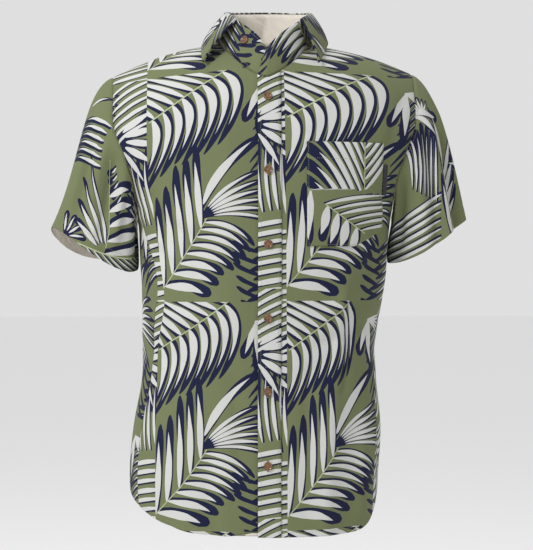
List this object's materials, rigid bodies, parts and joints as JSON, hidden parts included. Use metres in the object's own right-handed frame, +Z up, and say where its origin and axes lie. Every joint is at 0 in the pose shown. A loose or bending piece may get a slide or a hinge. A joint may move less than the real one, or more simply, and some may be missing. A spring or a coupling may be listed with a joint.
{
  "type": "short-sleeved hawaiian shirt",
  "caption": "Short-sleeved button-through shirt with a palm-leaf print, filled out as worn, with an open collar, a chest pocket and a curved shirt-tail hem.",
  "frame": {"origin": "middle of the neck, level with the points where neck and shoulder seams meet, where the wearer carries the shirt", "axes": "+Z up along the wearer's body, +X to the wearer's left, and the front faces -Y"},
  "size_m": [0.6352, 0.2747, 0.7935],
  "materials": {
    "printed_cotton": "plain-weave cotton, olive with an off-white and navy palm-leaf print, bare cream on the wrong side",
    "woven_tab": "plain black woven tape",
    "button_shell": "mottled brown, horn look, polished"
  },
  "bodies": {
    "root": {"back": "printed_cotton", "yoke": "printed_cotton", "right_front": "printed_cotton", "left_front": "printed_cotton", "sleeve_right": "printed_cotton", "sleeve_left": "printed_cotton", "placket": "printed_cotton", "collar_stand": "printed_cotton", "collar_leaf": "printed_cotton", "pocket": "printed_cotton", "pocket_tab": "woven_tab", "button_1": "button_shell", "button_2": "button_shell", "button_3": "button_shell", "button_4": "button_shell", "button_5": "button_shell", "button_6": "button_shell", "button_stand": "button_shell"}
  },
  "joints": []
}
